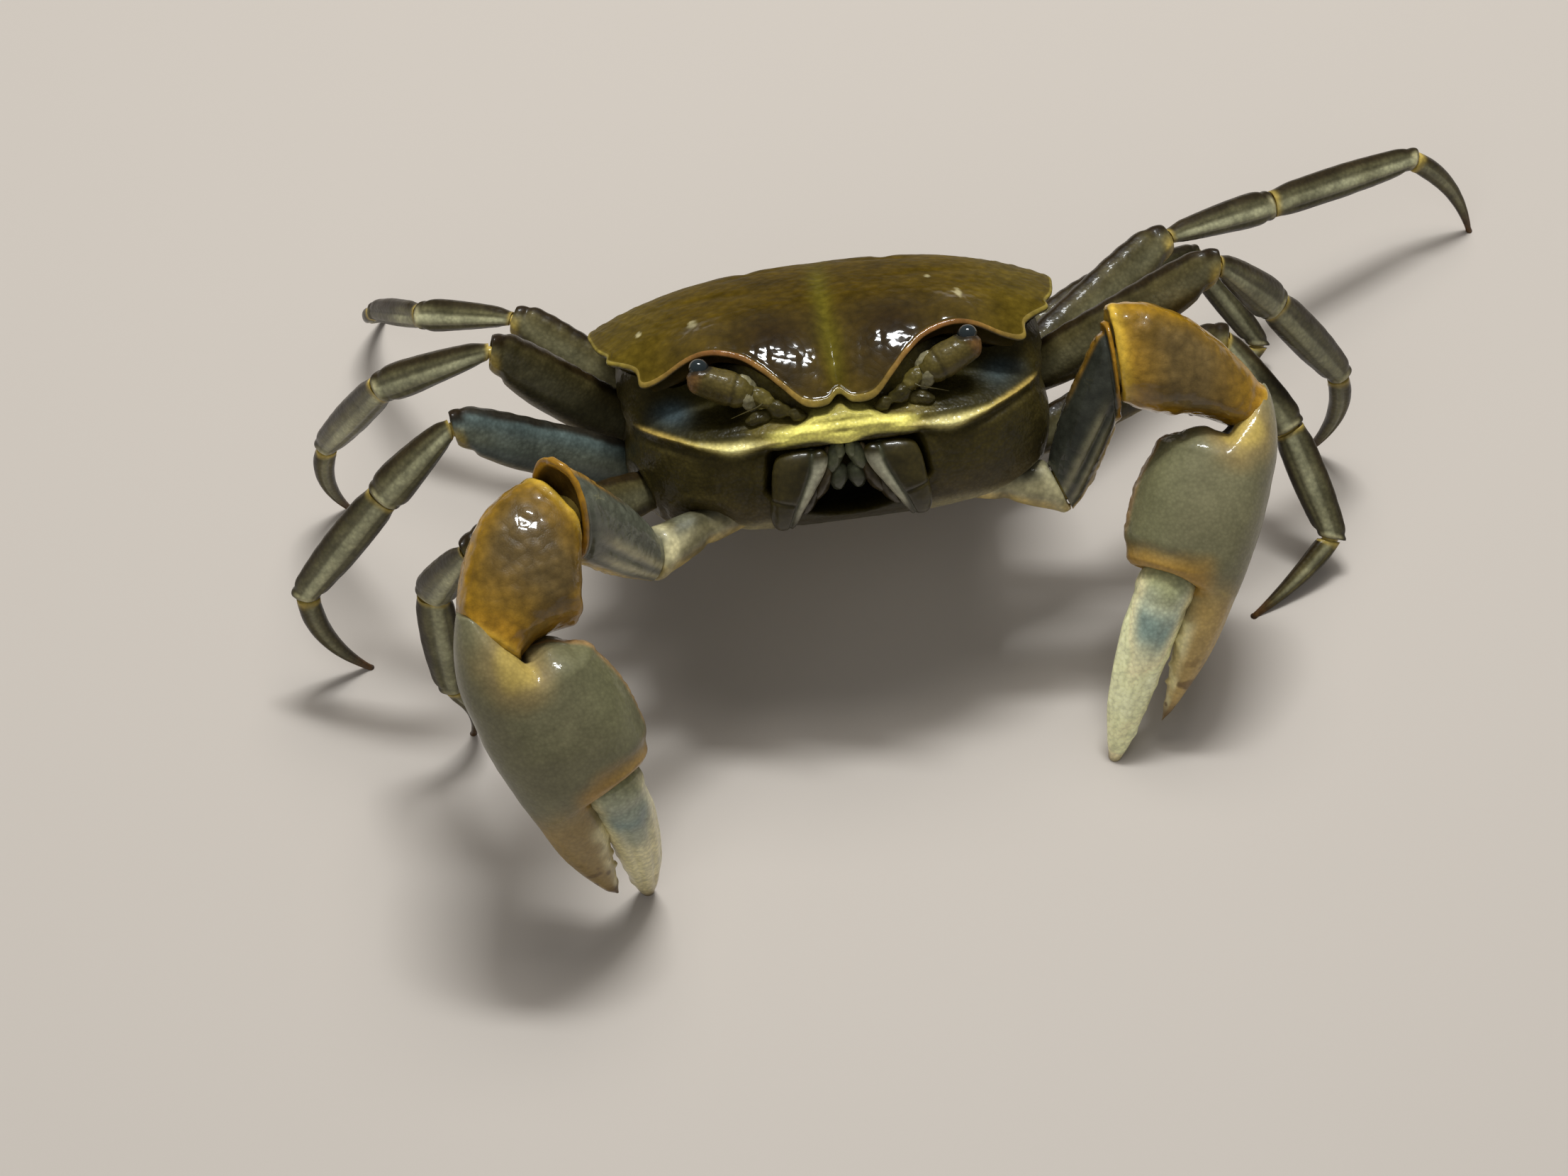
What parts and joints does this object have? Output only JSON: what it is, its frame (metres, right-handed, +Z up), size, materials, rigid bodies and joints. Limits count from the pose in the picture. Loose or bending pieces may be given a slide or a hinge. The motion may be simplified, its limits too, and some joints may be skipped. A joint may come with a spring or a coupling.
{
  "type": "shore crab",
  "caption": "Life-size still model of an estuarine shore crab standing with its front raised, claws hanging closed in front and legs spread to the sides.",
  "frame": {"origin": "middle of the whole crab seen from above, on the ground it stands on", "axes": "+Z up; the crab faces -Y, so its left side is towards +X; X runs across the spread of the legs"},
  "size_m": [0.1227, 0.08, 0.0405],
  "materials": {
    "shell": "smooth, wet, olive brown shell",
    "face_shell": "wet dark olive-brown shell with a yellow ridge",
    "belly_shell": "wet pale cream-grey shell",
    "stalk": "wet yellow-brown eyestalk",
    "cornea": "glossy blue-black eye",
    "arm_shell": "wet orange-brown shell with orange edges",
    "palm_shell": "wet grey-olive shell with a yellow crest",
    "finger_shell": "wet cream shell, grey-blue at the root",
    "leg_shell": "wet grey-green shell with dark brown edges"
  },
  "bodies": {
    "root": {"carapace": "shell", "lower_shell": "face_shell", "abdomen": "belly_shell", "left_maxilliped": "belly_shell", "left_eyestalk": "stalk", "left_eye": "cornea", "right_maxilliped": "belly_shell", "right_eyestalk": "stalk", "right_eye": "cornea", "left_claw_ischium": "belly_shell", "left_claw_merus": "arm_shell", "left_claw_carpus": "arm_shell", "left_claw_palm": "palm_shell", "left_claw_finger": "finger_shell", "left_leg1_ischium": "leg_shell", "left_leg1_merus": "leg_shell", "left_leg1_carpus": "leg_shell", "left_leg1_propodus": "leg_shell", "left_leg1_dactyl": "leg_shell", "left_leg2_ischium": "leg_shell", "left_leg2_merus": "leg_shell", "left_leg2_carpus": "leg_shell", "left_leg2_propodus": "leg_shell", "left_leg2_dactyl": "leg_shell", "left_leg3_ischium": "leg_shell", "left_leg3_merus": "leg_shell", "left_leg3_carpus": "leg_shell", "left_leg3_propodus": "leg_shell", "left_leg3_dactyl": "leg_shell", "left_leg4_ischium": "leg_shell", "left_leg4_merus": "leg_shell", "left_leg4_carpus": "leg_shell", "left_leg4_propodus": "leg_shell", "left_leg4_dactyl": "leg_shell", "right_claw_ischium": "belly_shell", "right_claw_merus": "arm_shell", "right_claw_carpus": "arm_shell", "right_claw_palm": "palm_shell", "right_claw_finger": "finger_shell", "right_leg1_ischium": "leg_shell", "right_leg1_merus": "leg_shell", "right_leg1_carpus": "leg_shell", "right_leg1_propodus": "leg_shell", "right_leg1_dactyl": "leg_shell", "right_leg2_ischium": "leg_shell", "right_leg2_merus": "leg_shell", "right_leg2_carpus": "leg_shell", "right_leg2_propodus": "leg_shell", "right_leg2_dactyl": "leg_shell", "right_leg3_ischium": "leg_shell", "right_leg3_merus": "leg_shell", "right_leg3_carpus": "leg_shell", "right_leg3_propodus": "leg_shell", "right_leg3_dactyl": "leg_shell", "right_leg4_ischium": "leg_shell", "right_leg4_merus": "leg_shell", "right_leg4_carpus": "leg_shell", "right_leg4_propodus": "leg_shell", "right_leg4_dactyl": "leg_shell"}
  },
  "joints": []
}
